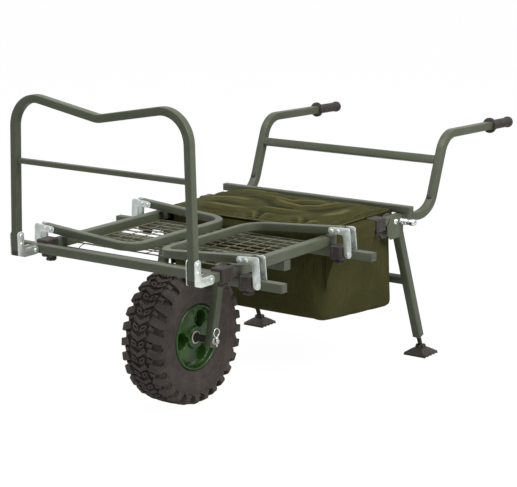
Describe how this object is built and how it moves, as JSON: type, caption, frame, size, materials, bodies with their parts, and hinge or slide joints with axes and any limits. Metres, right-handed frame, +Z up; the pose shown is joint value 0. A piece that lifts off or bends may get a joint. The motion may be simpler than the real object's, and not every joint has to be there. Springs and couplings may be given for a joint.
{
  "type": "fishing trolley",
  "caption": "Single-wheel fishing trolley with a tube frame, wire deck, folding hoop and side frames, hung bag with lid, folding legs and raised handles.",
  "frame": {"origin": "on the ground, under the middle of the whole trolley's bounding box", "axes": "+Z up, +Y from the hoop towards the grips, +X towards the pusher's left hand"},
  "size_m": [0.844, 1.4495, 0.81],
  "materials": {
    "frame_paint": "satin olive paint",
    "bracket_zinc": "bright zinc plate",
    "axle_chrome": "plated steel",
    "pin_chrome": "bright chrome",
    "deck_wire": "black coated wire",
    "tyre_rubber": "matt rubber",
    "rim_plastic": "moulded green",
    "bush_nylon": "pale nylon",
    "black_plastic": "black moulded",
    "bag_fabric": "coated woven cloth"
  },
  "bodies": {
    "chassis": {"rail_left": "frame_paint", "rail_right": "frame_paint", "sleeve_front": "frame_paint", "sleeve_rear": "frame_paint", "deck_mesh": "deck_wire", "fork_tube": "frame_paint", "strut_left": "frame_paint", "strut_right": "frame_paint", "axle": "axle_chrome", "rail_collar_front_left": "black_plastic", "side_collar_front_left": "black_plastic", "rail_collar_front_right": "black_plastic", "side_collar_front_right": "black_plastic", "rail_collar_rear_left": "black_plastic", "side_collar_rear_left": "black_plastic", "rail_collar_rear_right": "black_plastic", "side_collar_rear_right": "black_plastic", "bag_body": "bag_fabric"},
    "wheel": {"wheel_rim": "rim_plastic", "wheel_bearing": "bush_nylon", "tyre": "tyre_rubber"},
    "linch_pin_left": {"linch_pin_left": "pin_chrome"},
    "linch_pin_right": {"linch_pin_right": "pin_chrome"},
    "front_slide": {"front_arms": "frame_paint"},
    "front_hoop": {"front_hoop": "frame_paint", "front_crossbar": "frame_paint", "front_bracket_left": "bracket_zinc", "front_bracket_right": "bracket_zinc", "upright_plug_left": "black_plastic", "upright_plug_right": "black_plastic"},
    "rail_knob_front_left": {"rail_knob_front_left": "black_plastic"},
    "side_knob_front_left": {"side_knob_front_left": "black_plastic"},
    "rail_knob_front_right": {"rail_knob_front_right": "black_plastic"},
    "side_knob_front_right": {"side_knob_front_right": "black_plastic"},
    "rail_knob_rear_left": {"rail_knob_rear_left": "black_plastic"},
    "side_knob_rear_left": {"side_knob_rear_left": "black_plastic"},
    "rail_knob_rear_right": {"rail_knob_rear_right": "black_plastic"},
    "side_knob_rear_right": {"side_knob_rear_right": "black_plastic"},
    "side_slide_left": {"side_stub_front_left": "frame_paint", "side_stub_rear_left": "frame_paint"},
    "side_frame_left": {"side_frame_left": "frame_paint", "side_bracket_front_left": "bracket_zinc", "side_bracket_rear_left": "bracket_zinc"},
    "side_slide_right": {"side_stub_front_right": "frame_paint", "side_stub_rear_right": "frame_paint"},
    "side_frame_right": {"side_frame_right": "frame_paint", "side_bracket_front_right": "bracket_zinc", "side_bracket_rear_right": "bracket_zinc"},
    "rear_slide": {"handle_left": "frame_paint", "handle_right": "frame_paint", "handle_crossbar": "frame_paint", "grip_left": "black_plastic", "grip_right": "black_plastic", "rear_crossbar": "frame_paint"},
    "legs": {"leg_frame": "frame_paint"},
    "foot_left": {"foot_left": "black_plastic"},
    "plunger_left": {"plunger_left": "pin_chrome"},
    "foot_right": {"foot_right": "black_plastic"},
    "plunger_right": {"plunger_right": "pin_chrome"},
    "bag_lid": {"bag_lid": "bag_fabric"}
  },
  "joints": [
    {"name": "wheel_spin", "type": "hinge", "parent": "chassis", "child": "wheel", "pos_m": [0, -0.4222, 0.1762], "axis": [1, 0, 0], "continuous": true},
    {"name": "linch_pin_left_pull", "type": "slide", "parent": "chassis", "child": "linch_pin_left", "axis": [0, 0, 1], "range_m": [0, 0.04]},
    {"name": "linch_pin_right_pull", "type": "slide", "parent": "chassis", "child": "linch_pin_right", "axis": [0, 0, 1], "range_m": [0, 0.04]},
    {"name": "front_slide", "type": "slide", "parent": "chassis", "child": "front_slide", "axis": [0, -1, 0], "range_m": [0, 0.12]},
    {"name": "hoop_fold", "type": "hinge", "parent": "front_slide", "child": "front_hoop", "pos_m": [0, -0.6635, 0.41], "axis": [-1, 0, 0], "range_deg": [0, 90]},
    {"name": "rail_knob_front_left_turn", "type": "hinge", "parent": "chassis", "child": "rail_knob_front_left", "pos_m": [0.28, -0.6075, 0.38], "axis": [0, 0, 1], "continuous": true},
    {"name": "side_knob_front_left_turn", "type": "hinge", "parent": "chassis", "child": "side_knob_front_left", "pos_m": [0.318, -0.5565, 0.36], "axis": [0, 0, 1], "continuous": true},
    {"name": "rail_knob_front_right_turn", "type": "hinge", "parent": "chassis", "child": "rail_knob_front_right", "pos_m": [-0.28, -0.6075, 0.38], "axis": [0, 0, 1], "continuous": true},
    {"name": "side_knob_front_right_turn", "type": "hinge", "parent": "chassis", "child": "side_knob_front_right", "pos_m": [-0.318, -0.5565, 0.36], "axis": [0, 0, 1], "continuous": true},
    {"name": "rail_knob_rear_left_turn", "type": "hinge", "parent": "chassis", "child": "rail_knob_rear_left", "pos_m": [0.28, 0.0485, 0.38], "axis": [0, 0, 1], "continuous": true},
    {"name": "side_knob_rear_left_turn", "type": "hinge", "parent": "chassis", "child": "side_knob_rear_left", "pos_m": [0.318, -0.1775, 0.36], "axis": [0, 0, 1], "continuous": true},
    {"name": "rail_knob_rear_right_turn", "type": "hinge", "parent": "chassis", "child": "rail_knob_rear_right", "pos_m": [-0.28, 0.0485, 0.38], "axis": [0, 0, 1], "continuous": true},
    {"name": "side_knob_rear_right_turn", "type": "hinge", "parent": "chassis", "child": "side_knob_rear_right", "pos_m": [-0.318, -0.1775, 0.36], "axis": [0, 0, 1], "continuous": true},
    {"name": "side_slide_left", "type": "slide", "parent": "chassis", "child": "side_slide_left", "axis": [1, 0, 0], "range_m": [0, 0.06]},
    {"name": "side_fold_left", "type": "hinge", "parent": "side_slide_left", "child": "side_frame_left", "pos_m": [0.352, -0.3665, 0.3847], "axis": [0, 1, 0], "range_deg": [0, 94]},
    {"name": "side_slide_right", "type": "slide", "parent": "chassis", "child": "side_slide_right", "axis": [-1, 0, 0], "range_m": [0, 0.06]},
    {"name": "side_fold_right", "type": "hinge", "parent": "side_slide_right", "child": "side_frame_right", "pos_m": [-0.352, -0.3665, 0.3847], "axis": [0, -1, 0], "range_deg": [0, 94]},
    {"name": "rear_slide", "type": "slide", "parent": "chassis", "child": "rear_slide", "axis": [0, 1, 0], "range_m": [0, 0.08]},
    {"name": "leg_fold", "type": "hinge", "parent": "rear_slide", "child": "legs", "pos_m": [0, 0.1235, 0.406], "axis": [-1, 0, 0], "range_deg": [0, 80], "deforming": ["bag_body"]},
    {"name": "foot_left_tilt", "type": "hinge", "parent": "legs", "child": "foot_left", "pos_m": [0.28, 0.2775, 0.024], "axis": [1, 0, 0], "range_deg": [-15, 15]},
    {"name": "plunger_left_pull", "type": "slide", "parent": "legs", "child": "plunger_left", "axis": [1, 0, 0], "range_m": [0, 0.008], "stiffness_N_per_m": 400},
    {"name": "foot_right_tilt", "type": "hinge", "parent": "legs", "child": "foot_right", "pos_m": [-0.28, 0.2775, 0.024], "axis": [1, 0, 0], "range_deg": [-15, 15]},
    {"name": "plunger_right_pull", "type": "slide", "parent": "legs", "child": "plunger_right", "axis": [-1, 0, 0], "range_m": [0, 0.008], "stiffness_N_per_m": 400},
    {"name": "lid_open", "type": "hinge", "parent": "chassis", "child": "bag_lid", "pos_m": [0, 0.1545, 0.4331], "axis": [-1, 0, 0], "range_deg": [0, 95]}
  ]
}
